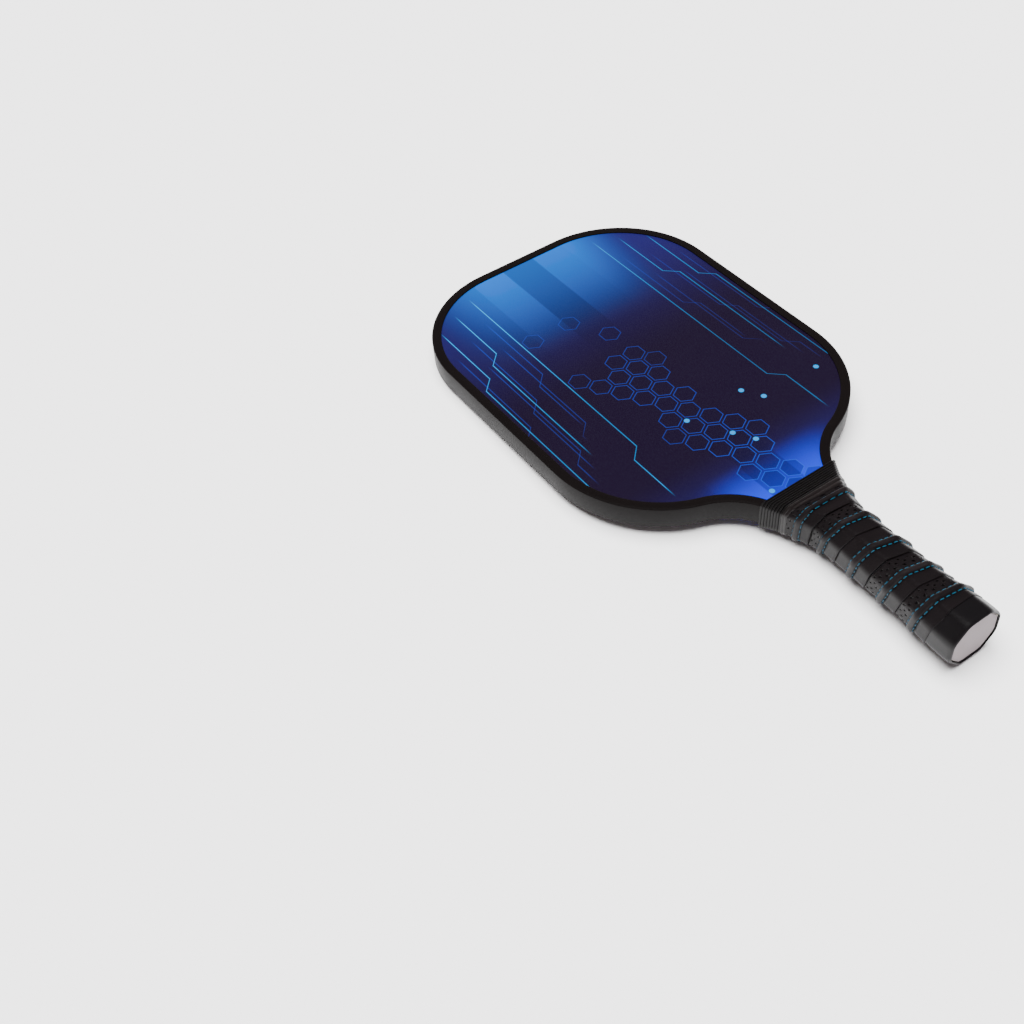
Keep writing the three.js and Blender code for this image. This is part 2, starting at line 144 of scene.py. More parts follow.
class Finish:
    """One material, built from nodes around a single shader."""

    def __init__(self, name):
        self.material = bpy.data.materials.new(name)
        self.material.use_nodes = True
        self.tree = self.material.node_tree
        self.tree.nodes.clear()
        output = self.tree.nodes.new("ShaderNodeOutputMaterial")
        self.shader = self.tree.nodes.new("ShaderNodeBsdfPrincipled")
        self.tree.links.new(self.shader.outputs["BSDF"], output.inputs["Surface"])

    def node(self, kind, settings, *values, out=0, **named):
        """Adds a node: settings first, then its sockets' values or links, and gives one output."""
        node = self.tree.nodes.new(kind)
        for key, value in settings.items():
            if key == "stops":
                self.set_stops(node, value)
            else:
                setattr(node, key, value)
        for place, value in list(enumerate(values)) + list(named.items()):
            self.feed(node.inputs[place], value)
        return Wire(self, node.outputs[out])

    def feed(self, socket, value):
        if isinstance(value, Wire):
            self.tree.links.new(value.socket, socket)
        elif value is not None:
            socket.default_value = value

    @staticmethod
    def set_stops(node, stops):
        elements = node.color_ramp.elements
        while len(elements) < len(stops):
            elements.new(0.5)
        for element, (place, colour) in zip(elements, stops):
            element.position = place
            element.color = colour

    def set(self, **values):
        """Sets or links the shader's own sockets, named with _ for a space."""
        for name, value in values.items():
            self.feed(self.shader.inputs[name.replace("_", " ")], value)

    def place(self):
        """The object's own coordinates as a vector, in metres."""
        return self.node("ShaderNodeTexCoord", {}, out="Object")

    def attribute(self, name):
        return self.node("ShaderNodeAttribute", {"attribute_name": name}, out="Vector")

    def split(self, vector):
        """The three parts of a vector."""
        first = self.node("ShaderNodeSeparateXYZ", {}, vector)
        node = first.socket.node
        return [Wire(self, node.outputs[axis]) for axis in "XYZ"]

    def scaled(self, vector, scale):
        """A vector multiplied part by part."""
        return self.node("ShaderNodeVectorMath", {"operation": "MULTIPLY"}, vector, scale)

    def noise(self, vector, scale, detail=3.0, roughness=0.5):
        amounts = {"Scale": scale, "Detail": detail, "Roughness": roughness}
        return self.node("ShaderNodeTexNoise", {}, Vector=vector, **amounts)

    def cells(self, vector, scale, feature="F1"):
        return self.node("ShaderNodeTexVoronoi", {"feature": feature}, Vector=vector, Scale=scale)

    def dice(self, column, row, throw):
        """A random value from 0 to 1 that is the same all over one cell."""
        cell = self.node("ShaderNodeCombineXYZ", {}, column, row, throw)
        return self.node("ShaderNodeTexWhiteNoise", {"noise_dimensions": "3D"}, cell)

    def blend(self, share, first, second):
        """A mix of two colours."""
        node = self.tree.nodes.new("ShaderNodeMix")
        node.data_type = "RGBA"
        self.feed(node.inputs[0], share)
        self.feed(node.inputs[6], first)
        self.feed(node.inputs[7], second)
        return Wire(self, node.outputs[2])

    def ramp(self, value, stops):
        return self.node("ShaderNodeValToRGB", {"stops": stops}, value)

    def bump(self, height, strength, distance):
        wire = self.node("ShaderNodeBump", {}, Strength=strength, Distance=distance, Height=height)
        self.feed(self.shader.inputs["Normal"], wire)


def shade(red, green, blue):
    """A colour given as it looks on a screen, from 0 to 255, in the linear values that shaders use."""
    parts = []
    for part in (red, green, blue):
        part = part / 255
        parts.append(part / 12.92 if part <= 0.04045 else ((part + 0.055) / 1.055) ** 2.4)
    return (*parts, 1.0)


# ============================================================================ the print
#
# A design of this paddle's own: a glow at the head and another at the throat, three broad bars, a
# honeycomb that scatters into single cells, and fine lines that step outwards along both sides.

NIGHT = (10, 2, 20)
INDIGO = (18, 14, 68)
SKY = (6, 80, 158)
ROYAL = (10, 36, 165)
LINE_BLUE = (18, 56, 156)
CYAN = (10, 116, 176)

FACE_START = (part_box("grip_collar")[1].y - BUTT_END) / MM
FACE_LENGTH = LENGTH - FACE_START
BAR_WIDTH = 24
BARS_START = -40  # x of the first bar's left edge
BAR_DARKNESS = (0.0, 0.42, 0.06)
HEX_PITCH = 14  # between neighbouring cells of the print
HEX_ROW = HEX_PITCH * math.sqrt(3) / 2
HEX_DRAWN = 0.86 * HEX_PITCH / 2
BAND_START = 4  # x of the honeycomb's middle at the throat
BAND_LEAN = 44  # how far the honeycomb leans to the left over the length of the face
BAND_HALF = 12
BAND_SCATTER = 15  # how far past the full honeycomb single cells still appear
BAND_LENGTH = 0.46  # share of the face that the full honeycomb covers
DOT_RADIUS = 1.7
DOT_UP = 5.6  # from a cell's middle to the dot near its upper point
SIDE_LINES = 8  # fine lines on each side
SIDE_START = 50
SIDE_PITCH = 5.5
LINE_STEP = 8  # how far a fine line steps sideways
LINE_HALF = 0.24
LINE_SOFT = 0.16


def stroke(distance, half=LINE_HALF, soft=LINE_SOFT):
    """A drawn line: 1 on it and 0 away from it."""
    return 1 - distance.rise(half - soft, half + soft)


def hexagon_reach(across, along):
    """How far out a point is, on hexagons with a point towards the head."""
    across = abs(across)
    along = abs(along)
    return across.most(across * 0.5 + along * (math.sqrt(3) / 2))


def fine_line(x, station, start, bend, step, top, bottom):
    """A fine line that runs down the face and steps sideways once, at 45 degrees."""
    path = (bend - station).between(0.0, abs(step)) * math.copysign(1, step) + start
    fade = 14.0
    ends = station.rise(bottom, bottom + fade) * (1 - station.rise(top - fade, top))
    return stroke(abs(x - path), 0.3, 0.2) * ends


def side_lines(x, station):
    """The fine lines along both sides: every third one is bright, and the left side is the brighter."""
    bright = 0.0
    faint = 0.0
    for side, strength in ((-1, 1.0), (1, 0.55)):
        for number in range(SIDE_LINES):
            start = side * (SIDE_START + SIDE_PITCH * number)
            bend = FACE_START + 80 + 17 * (number * 5 % SIDE_LINES)
            top = LENGTH - 14 - 9 * (number * 3 % SIDE_LINES)
            bottom = FACE_START + 34 + 11 * (number * 7 % SIDE_LINES)
            line = fine_line(x, station, start, bend, side * LINE_STEP, top, bottom)
            if number % 3 == 0:
                bright = line * strength + bright
            else:
                faint = line * strength * 0.7 + faint
    return bright.between(0.0, 1.0), faint.between(0.0, 1.0)


def honeycomb(finish, x, station):
    """The drawn honeycomb: the lines and the insides of its cells, and the dots among them."""
    across = x
    along = station - FACE_START
    even_x = across.wrapped(HEX_PITCH / 2)
    even_y = along.wrapped(HEX_ROW)
    odd_x = (across - HEX_PITCH / 2).wrapped(HEX_PITCH / 2)
    odd_y = (along - HEX_ROW).wrapped(HEX_ROW)
    is_even = hexagon_reach(even_x, even_y).less_than(hexagon_reach(odd_x, odd_y))
    near_x = odd_x + is_even * (even_x - odd_x)
    near_y = odd_y + is_even * (even_y - odd_y)
    reach = hexagon_reach(near_x, near_y)
    column = ((across - near_x) / (HEX_PITCH / 2)).rounded()
    row = ((along - near_y) / HEX_ROW).rounded()

    upward = row * (HEX_ROW / FACE_LENGTH)
    band_middle = upward * -BAND_LEAN + BAND_START
    aside = (abs(column * (HEX_PITCH / 2) - band_middle) - BAND_HALF) / BAND_SCATTER
    beyond = (upward - BAND_LENGTH) / 0.3
    thinning = aside.most(beyond).between(0.0, 1.0)
    drawn = thinning.less_than(finish.dice(column, row, 1.5))
    dotted = (thinning * 0.075 + 0.905).less_than(finish.dice(column, row, 6.5))

    lines = drawn * stroke(abs(reach - HEX_DRAWN))
    inside = drawn * (1 - reach.rise(HEX_DRAWN - 0.2, HEX_DRAWN + 0.2))
    distance = (near_x * near_x + (near_y - DOT_UP) ** 2) ** 0.5
    dots = dotted * stroke(distance, DOT_RADIUS, 0.3)
    return lines * (1 - thinning * 0.4), inside, dots


def playing_face_print(name, side):
    """The printed film: two glows, broad bars, a honeycomb with dots, and fine lines at the sides."""
    finish = Finish(name)
    across, along, _ = finish.split(finish.place())
    x = across * (side / MM)
    station = (along - BUTT_END) / MM
    upward = (station - FACE_START) / FACE_LENGTH

    head = upward.rise(0.64, 1.08) * x.rise(-88.0, -30.0) * (1 - x.rise(26.0, 74.0))
    throat = 1 - upward.rise(0.0, 0.13)
    throat_middle = x.rise(-56.0, -26.0) * (1 - x.rise(20.0, 54.0))
    ground = finish.blend(upward.rise(0.5, 0.98), shade(*NIGHT), shade(*INDIGO))
    ground = finish.blend((1 - upward.rise(0.0, 0.2)) * 0.7, ground, shade(*INDIGO))
    ground = finish.blend(head, ground, shade(*SKY))
    ground = finish.blend(throat * throat_middle, ground, shade(*ROYAL))

    glowing = upward.rise(0.45, 0.8).most(1 - upward.rise(0.05, 0.25))
    for number, darkness in enumerate(BAR_DARKNESS):
        start = BARS_START + number * BAR_WIDTH
        end = start + BAR_WIDTH
        bar = x.rise(start - 0.5, start + 0.5) * (1 - x.rise(end - 0.5, end + 0.5))
        ground = finish.blend(bar * glowing * darkness, ground, shade(6, 2, 26))
    left_of_bars = 1 - x.rise(BARS_START - 0.6, BARS_START + 0.6)
    ground = finish.blend(left_of_bars * glowing * 0.18, ground, shade(6, 2, 26))

    lines, inside, dots = honeycomb(finish, x, station)
    near_throat = 1 - upward.rise(0.05, 0.32)
    ground = finish.blend(inside * (0.16 + near_throat * 0.26), ground, shade(5, 2, 26))
    ground = finish.blend(lines * (0.36 + near_throat * 0.26), ground, shade(*LINE_BLUE))
    bright, faint = side_lines(x, station)
    lit = upward.rise(0.4, 0.95) * 0.5 + near_throat * 0.3 + 0.45
    ground = finish.blend(faint * lit * 0.6, ground, shade(*LINE_BLUE))
    ground = finish.blend(bright * lit, ground, shade(*CYAN))
    ground = finish.blend(dots * 0.8, ground, shade(*CYAN))

    specks = finish.noise(finish.place(), 2600.0, 2.0)
    clouds = finish.noise(finish.place(), 22.0, 3.0)
    ground = finish.blend((specks - 0.45) * 0.06, ground, shade(150, 160, 190))
    finish.set(Base_Color=ground, Roughness=0.27 + clouds * 0.1, Specular_IOR_Level=0.3)
    finish.bump(specks, 0.05, 0.0002)
    return finish.material


# ============================================================================ other finishes

def moulded(name, colour, worn, roughness, grain=2400.0, depth=0.12, gloss=0.2):
    """Moulded rubber or plastic: a fine pebbled surface, slightly cloudy, scuffed in places."""
    finish = Finish(name)
    place = finish.place()
    pebbles = finish.cells(place, grain)
    clouds = finish.noise(place, 36.0, 4.0)
    scuffs = finish.noise(finish.scaled(place, (140.0, 900.0, 300.0)), 1.0, 4.0)
    scuff = scuffs.rise(0.62, 0.8) * 0.35 + clouds * 0.3
    finish.set(
        Base_Color=finish.blend(scuff, shade(*colour), shade(*worn)),
        Roughness=roughness + clouds * 0.14 - scuffs * 0.06,
        Specular_IOR_Level=gloss,
    )
    finish.bump(pebbles + clouds * 0.4, depth, 0.0002)
    return finish.material


def wrap_leather():
    """Black wrap: fine leather grain, creases across the strip, and a lighter colour on what stands proud,
    partly wear and partly painted highlight.
    """
    finish = Finish("wrap_leather")
    place = finish.place()
    grain = finish.cells(place, 1500.0, "DISTANCE_TO_EDGE")
    soft = finish.noise(place, 60.0, 4.0)
    creases = finish.noise(finish.scaled(place, (260.0, 60.0, 260.0)), 1.0, 3.0)
    _, across_strip, proud = finish.split(finish.attribute("strip"))
    # Lighter colour on the ridge tops: partly wear, partly a painted highlight.
    wear = proud.rise(0.3, 1.3) * soft.rise(0.35, 0.7)
    colour = finish.blend(soft * 0.6, shade(9, 7, 8), shade(16, 12, 13))
    colour = finish.blend(wear * 0.5, colour, shade(27, 23, 24))
    # Painted shade: darker along the stitch grooves on either side of the ridge.
    pressed = 1 - abs(abs(across_strip) - 2.5).rise(0.1, 0.7)
    colour = finish.blend(pressed * 0.5, colour, shade(4, 3, 3))
    finish.set(Base_Color=colour, Roughness=0.38 + soft * 0.16 - wear * 0.08, Specular_IOR_Level=0.18)
    finish.bump(grain * 0.5 + creases * 0.7, 0.22, 0.0003)
    return finish.material


def thread():
    """Twisted teal thread."""
    finish = Finish("teal_thread")
    across, along, up = finish.split(finish.place())
    twist = ((across + up) * 5200.0 + along * 7400.0).sine()
    fibres = finish.noise(finish.place(), 3200.0, 3.0)
    colour = finish.blend(twist * 0.25 + fibres * 0.5, shade(14, 46, 62), shade(38, 102, 126))
    finish.set(Base_Color=colour, Roughness=0.62 + fibres * 0.2)
    finish.bump(twist * 0.5 + fibres, 0.4, 0.0002)
    return finish.material


def disc_card():
    """Light grey matte disc with a very fine speckle."""
    finish = Finish("disc_card")
    place = finish.place()
    speckle = finish.noise(place, 4200.0, 2.0)
    clouds = finish.noise(place, 90.0, 3.0)
    colour = finish.blend(speckle * 0.7 + clouds * 0.3, shade(112, 103, 105), shade(146, 136, 139))
    finish.set(Base_Color=colour, Roughness=0.62 + speckle * 0.15)
    finish.bump(speckle, 0.12, 0.0001)
    return finish.material


def woven(name, colour, light, pitch, roughness):
    """A plain weave of fine yarns, seen on the glass laminate and the bonding veil."""
    finish = Finish(name)
    across, along, _ = finish.split(finish.place())
    turns = 2 * math.pi / (pitch * MM)
    weft = (across * turns).sine()
    warp = (along * turns).sine()
    over = weft * warp
    fibres = finish.noise(finish.place(), 1800.0, 3.0)
    colour = finish.blend(over * 0.35 + fibres * 0.4 + 0.2, shade(*colour), shade(*light))
    finish.set(Base_Color=colour, Roughness=roughness + fibres * 0.15)
    finish.bump(over + fibres * 0.5, 0.3, 0.0002)
    return finish.material


def fibrous(name, colour, light, scale):
    """Felt or foam: soft, rough, with small tufts or cells."""
    finish = Finish(name)
    place = finish.place()
    tufts = finish.cells(place, scale)
    fluff = finish.noise(place, scale * 1.7, 5.0)
    colour = finish.blend(tufts * 0.7 + fluff * 0.3, shade(*colour), shade(*light))
    finish.set(Base_Color=colour, Roughness=0.82 + fluff * 0.12)
    finish.bump(tufts + fluff, 0.5, 0.0004)
    return finish.material


def steel_wire():
    """Bright drawn wire with fine lines along it."""
    finish = Finish("steel_wire")
    drawn = finish.noise(finish.scaled(finish.place(), (300.0, 9000.0, 9000.0)), 1.0, 3.0)
    colour = finish.blend(drawn, shade(150, 150, 154), shade(206, 206, 208))
    finish.set(Base_Color=colour, Metallic=1.0, Roughness=0.24 + drawn * 0.16)
    finish.bump(drawn, 0.08, 0.0001)
    return finish.material


def clear_plastic(name, colour, light):
    """Extruded core plastic: milky, with draw lines down the walls of its cells."""
    finish = Finish(name)
    place = finish.place()
    lines = finish.noise(finish.scaled(place, (900.0, 900.0, 40.0)), 1.0, 3.0)
    milky = finish.noise(place, 80.0, 3.0)
    colour = finish.blend(milky * 0.6 + lines * 0.3, shade(*colour), shade(*light))
    finish.set(Base_Color=colour, Roughness=0.36 + milky * 0.16)
    finish.bump(lines, 0.15, 0.0002)
    return finish.material


# ============================================================================ the handle's form

GRIP_HALF_WIDTH = 15.6
GRIP_HALF_HEIGHT = 14.7
BUTT_HALF_WIDTH = 17.9
BUTT_HALF_HEIGHT = (HIGH[2] - LOW[2]) / 2 / MM
BEVEL_WIDTH_SHARE = 0.52
BEVEL_HEIGHT_SHARE = 0.59
BUTT_FLARE = (6, 46)
COLLAR_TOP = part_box("grip_collar")[1].y / MM - BUTT_END / MM
COLLAR_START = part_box("grip_collar")[0].y / MM - BUTT_END / MM
THROAT_FLARE_START = 92
COLLAR_HALF_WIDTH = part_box("grip_collar")[1].x / MM
COLLAR_HALF_HEIGHT = (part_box("grip_collar")[1].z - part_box("grip_collar")[0].z) / 2 / MM
COLLAR_BEVEL = 2.2
THROAT_SLOPE = math.radians(29)
BOARD = 100.0  # one turn round the handle, on the flat board that its pieces are cut on
CORNER_SOFTNESS = 0.016  # share of a turn over which the handle's edges are rounded
BUTT_SOFTNESS = 0.024


def share(value, start, end):
    return min(max((value - start) / (end - start), 0.0), 1.0)


def ease(value):
    return (1 - math.cos(math.pi * value)) / 2


def mix(first, second, amount):
    return first + (second - first) * amount


def grip_section(station):
    """Half width, half height and bevels of the handle's outside at a station."""
    butt = 1 - ease(share(station, *BUTT_FLARE))
    neck = share(station, THROAT_FLARE_START, COLLAR_TOP)
    width = mix(GRIP_HALF_WIDTH, BUTT_HALF_WIDTH, butt)
    height = mix(GRIP_HALF_HEIGHT, BUTT_HALF_HEIGHT, butt)
    flare = COLLAR_HALF_WIDTH - GRIP_HALF_WIDTH
    power = math.tan(THROAT_SLOPE) * (COLLAR_TOP - THROAT_FLARE_START) / flare
    bevel_width = mix(BEVEL_WIDTH_SHARE * width, COLLAR_BEVEL, neck)
    bevel_height = mix(BEVEL_HEIGHT_SHARE * height, COLLAR_BEVEL, neck)
    width = mix(width, COLLAR_HALF_WIDTH, neck ** power)
    height = mix(height, COLLAR_HALF_HEIGHT, ease(neck))
    return width, height, bevel_width, bevel_height


def section_corners(station):
    """The eight corners, from the left side's lower one up, over the front and round."""
    width, height, bevel_width, bevel_height = grip_section(station)
    flat = width - bevel_width
    side = height - bevel_height
    return [
        (-width, -side), (-width, side), (-flat, height), (flat, height),
        (width, side), (width, -side), (flat, -height), (-flat, -height),
    ]


def corner_turns():
    """Where the eight corners come in one turn, taken from the middle of the handle."""
    corners = section_corners(60)
    lengths = [math.dist(corners[i], corners[(i + 1) % 8]) for i in range(8)]
    total = sum(lengths)
    turns = [0.0]
    for length in lengths:
        turns.append(turns[-1] + length / total)
    turns[-1] = 1.0
    return turns


CORNER_TURNS = corner_turns()


def sharp_point(corners, turn):
    turn = turn % 1.0
    for facet in range(8):
        if turn <= CORNER_TURNS[facet + 1]:
            part = (turn - CORNER_TURNS[facet]) / (CORNER_TURNS[facet + 1] - CORNER_TURNS[facet])
            first = corners[facet]
            second = corners[(facet + 1) % 8]
            return mix(first[0], second[0], part), mix(first[1], second[1], part)
    return corners[0]


def soft_point(corners, turn, softness=CORNER_SOFTNESS):
    """A point of the outline with its corners rounded."""
    steps = 4
    x = 0.0
    z = 0.0
    for step in range(-steps, steps + 1):
        point = sharp_point(corners, turn + softness * step / steps)
        x += point[0]
        z += point[1]
    return x / (2 * steps + 1), z / (2 * steps + 1)


def corner_softness(station):
    return mix(BUTT_SOFTNESS, CORNER_SOFTNESS, ease(share(station, 0, 22)))


def on_handle(turn, station, height):
    """The place on the handle of a point of the flat board."""
    corners = section_corners(station)
    softness = corner_softness(station)
    x, z = soft_point(corners, turn, softness)
    before = soft_point(corners, turn - 0.004, softness)
    after = soft_point(corners, turn + 0.004, softness)
    run_x = after[0] - before[0]
    run_z = after[1] - before[1]
    length = math.hypot(run_x, run_z)
    return at_paddle(x - run_z / length * height, station, z + run_x / length * height)


# ============================================================================ bench work

def deselect():
    bpy.ops.object.select_all(action="DESELECT")


def start_piece(name, add, **shape):
    """Adds a primitive as the only selected object, and names it."""
    deselect()
    add(**shape)
    piece = bpy.context.object
    piece.name = name
    piece.data.name = name
    return piece


def settle(piece):
    """Moves the object's own place, turn and size into its mesh."""
    deselect()
    piece.select_set(True)
    bpy.context.view_layer.objects.active = piece
    bpy.ops.object.transform_apply(location=True, rotation=True, scale=True)


def edit(piece, mode="FACE"):
    deselect()
    piece.select_set(True)
    bpy.context.view_layer.objects.active = piece
    bpy.ops.object.mode_set(mode="EDIT")
    bpy.ops.mesh.select_mode(type=mode)
    bpy.ops.mesh.select_all(action="DESELECT")


def done():
    bpy.ops.object.mode_set(mode="OBJECT")


def pick(piece, kind, rule):
    """Selects the faces, edges or vertices whose middle passes the rule, and nothing else."""
    bpy.ops.mesh.select_all(action="DESELECT")
    bpy.ops.object.mode_set(mode="OBJECT")
    mesh = piece.data
    if kind == "FACE":
        for face in mesh.polygons:
            face.select = rule(face.center)
    elif kind == "EDGE":
        for edge in mesh.edges:
            ends = [mesh.vertices[i].co for i in edge.vertices]
            edge.select = rule((ends[0] + ends[1]) / 2)
    else:
        for vertex in mesh.vertices:
            vertex.select = rule(vertex.co)
    bpy.ops.object.mode_set(mode="EDIT")


def lay(piece, rule):
    """Lays every vertex of a flat piece in its place."""
    for vertex in piece.data.vertices:
        vertex.co = rule(vertex.co)
    piece.data.update()


def merge(piece, distance=0.00001):
    edit(piece, "VERT")
    bpy.ops.mesh.select_all(action="SELECT")
    bpy.ops.mesh.remove_doubles(threshold=distance)
    done()


def face_out(piece):
    edit(piece)
    bpy.ops.mesh.select_all(action="SELECT")
    bpy.ops.mesh.normals_make_consistent(inside=False)
    done()


def apply_modifier(piece, kind, **settings):
    deselect()
    piece.select_set(True)
    bpy.context.view_layer.objects.active = piece
    modifier = piece.modifiers.new(kind.title(), kind)
    for key, value in settings.items():
        setattr(modifier, key, value)
    bpy.ops.object.modifier_apply(modifier=modifier.name)


def smooth(piece, angle=40):
    deselect()
    piece.select_set(True)
    bpy.context.view_layer.objects.active = piece
    bpy.ops.object.shade_smooth_by_angle(angle=math.radians(angle))


def finish_piece(piece, material, slot, *nodes):
    piece.data.materials.clear()
    piece.data.materials.append(material)
    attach(piece, "root")
    if nodes:
        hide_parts(*nodes)


# ============================================================================ edge guard

GUARD_WALL = 2.0
GUARD_LIP = 6.0
GUARD_HALF = (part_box("edge_guard")[1].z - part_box("edge_guard")[0].z) / 2 / MM
GUARD_LIP_THICKNESS = 0.7
GUARD_CORNER = 3.2
HEAD_CORNER = 70
SHOULDER = 75
THROAT = 45
THROAT_HALF_WIDTH = 26.7
GUARD_UNDER_COLLAR = 3


def outline_centres():
    """Centres of the throat's and the shoulder's arcs, and the angle where they meet."""
    shoulder_x = HEAD_HALF_WIDTH - SHOULDER
    radii = SHOULDER + THROAT
    reach = shoulder_x - THROAT_HALF_WIDTH
    angle = math.acos((THROAT * math.cos(THROAT_SLOPE) - reach) / radii)
    shoulder_y = COLLAR_TOP + radii * math.sin(angle) - THROAT * math.sin(THROAT_SLOPE)
    throat_x = shoulder_x + radii * math.cos(angle)
    throat_y = shoulder_y - radii * math.sin(angle)
    return Vector((shoulder_x, shoulder_y)), Vector((throat_x, throat_y)), angle


def spin_section(centre, angle, steps):
    """Turns the selected end section about an upright axis, left round for a positive angle."""
    bpy.ops.mesh.spin(steps=steps, angle=-angle, center=at_paddle(centre[0], centre[1], 0), axis=(0, 0, 1))


def edge_guard():
    """U-shaped strip: a rounded section swept round the throat, shoulder, side, corner and top."""
    shoulder, throat, neck_angle = outline_centres()
    end_angle = math.asin((COLLAR_TOP - GUARD_UNDER_COLLAR - throat.y) / THROAT)
    guard = start_piece("edge_guard_strip", bpy.ops.mesh.primitive_plane_add, size=1)
    # The section lies flat first: x across the wall and lips, y for the height.
    guard.scale = (GUARD_WALL, 2 * GUARD_HALF, 1)
    settle(guard)
    edit(guard)
    inner_half = GUARD_HALF - GUARD_LIP_THICKNESS
    for level in (-inner_half, inner_half):
        bpy.ops.mesh.select_all(action="SELECT")
        bpy.ops.mesh.bisect(plane_co=(0, level, 0), plane_no=(0, 1, 0))
    bpy.ops.mesh.select_mode(type="EDGE")
    inner_side = -GUARD_WALL / 2
    pick(guard, "EDGE", lambda c: abs(c.x - inner_side) < 0.01 and abs(c.y) > inner_half)
    bpy.ops.mesh.extrude_region_move(TRANSFORM_OT_translate={"value": (GUARD_WALL - GUARD_LIP, 0, 0)})
    tip = GUARD_WALL / 2 - GUARD_LIP
    bpy.ops.mesh.select_mode(type="VERT")
    pick(guard, "VERT", lambda c: abs(c.x - tip) < 0.01 and abs(c.y) > GUARD_HALF - 0.01)
    bpy.ops.mesh.bevel(affect="VERTICES", offset=0.5, segments=3)
    pick(guard, "VERT", lambda c: c.x > GUARD_WALL / 2 - 0.01 and abs(c.y) > GUARD_HALF - 0.01)
    bpy.ops.mesh.bevel(affect="VERTICES", offset=GUARD_CORNER, segments=6, profile=0.5)
    done()

    def stand(c):
        """Stands the section up where the guard begins, facing the throat's centre."""
        reach = THROAT + (GUARD_WALL / 2 - c.x)
        side = throat + Vector((-math.cos(end_angle), math.sin(end_angle))) * reach
        return at_paddle(side.x, side.y, c.y)

    lay(guard, stand)
    edit(guard)
    bpy.ops.mesh.select_all(action="SELECT")
    spin_section(throat, -(neck_angle - end_angle), 20)
    spin_section(shoulder, neck_angle, 34)
    straight = (LENGTH - HEAD_CORNER - shoulder.y) * MM
    bpy.ops.mesh.extrude_region_move(TRANSFORM_OT_translate={"value": (0, straight, 0)})
    corner = Vector((HEAD_HALF_WIDTH - HEAD_CORNER, LENGTH - HEAD_CORNER))
    spin_section(corner, math.pi / 2, 36)
    to_middle = (HEAD_HALF_WIDTH - HEAD_CORNER) * MM
    bpy.ops.mesh.extrude_region_move(TRANSFORM_OT_translate={"value": (-to_middle, 0, 0)})
    bpy.ops.mesh.delete(type="FACE")
    done()
    apply_modifier(guard, "MIRROR", use_axis=(True, False, False), use_clip=True, merge_threshold=0.00002)
    merge(guard)
    face_out(guard)
    smooth(guard, 50)
    rubber = moulded("guard_rubber", (8, 6, 6), (16, 12, 12), 0.42, gloss=0.1)
    finish_piece(guard, rubber, "guard", "edge_guard")
    return guard


# ============================================================================ wrap

WRAP_PITCH = 22.2
WRAP_START = 12.8  # station of the wrap's end at the butt cap
WRAP_END = 114.8
FIRST_RIDGE = 108.4  # where the stitched ridge comes out from under the collar
RIDGE_HOLD = 8.2  # how much the strip's tapered end delays its first turn
LAST_RIDGE = 20.5  # the ridge runs level here, by the butt
FIRST_TURN = -0.6
LAST_TURN = 4.98
COLUMNS_PER_TURN = 96
STITCH_OFFSET = 2.3
STITCHES_PER_TURN = 30


def ridge_station(turn):
    """Where the strip's stitched ridge is, after some turns from the left side at the collar."""
    station = FIRST_RIDGE - WRAP_PITCH * turn + RIDGE_HOLD * ease(share(turn, -0.1, 0.54))
    bend = 1.5
    spare = (station - LAST_RIDGE) / bend
    return station if spare > 12 else LAST_RIDGE + bend * math.log1p(math.exp(spare))


def on_strip(point):
    """Winds a point of the flat strip on: x along it, y across from the ridge, z height."""
    turn = point.x / BOARD
    ridge = ridge_station(turn)
    if point.y > 0:
        width = ridge_station(turn - 1) - ridge
    elif turn < LAST_TURN - 1.1:
        width = ridge - ridge_station(turn + 1)
    else:
        width = WRAP_PITCH
    wander = 0.2 * math.sin(turn * 9.3) + 0.12 * math.sin(turn * 23.7)
    station = ridge + point.y * width / (2 * STRIP_HALF_WIDTH) + wander
    station = min(max(station, WRAP_START - 6), COLLAR_TOP - 2)
    thinning = share(turn, LAST_TURN - 0.2, LAST_TURN)
    return on_handle(turn, station, mix(point.z, -0.7, thinning))


# Height of the strip across its width, from the lower, upper-lying edge to the one beneath.
STRIP_HALF_WIDTH = 11.0
STRIP_PROFILE = [
    (-11.0, -0.55), (-10.9, 0.05), (-10.6, 0.34), (-10.0, 0.42), (-8.5, 0.34), (-6.5, 0.2), (-4.8, 0.16),
    (-3.6, 0.1), (-3.0, -0.14), (-2.6, -0.3), (-2.25, -0.22), (-2.0, 0.3), (-1.7, 1.0), (-1.1, 1.48),
    (0.0, 1.62), (1.1, 1.48), (1.7, 1.0), (2.0, 0.3),
    (2.25, -0.22), (2.6, -0.3), (3.0, -0.14), (3.6, 0.08), (4.8, 0.12),
    (6.0, 0.1), (7.0, 0.08), (8.0, 0.02), (9.0, -0.08), (10.0, -0.2), (10.6, -0.36), (11.0, -0.55),
]
HOLE_ROWS = (4.8, 7.0, 9.0)
HOLE_STEP = 5  # columns between holes of one row


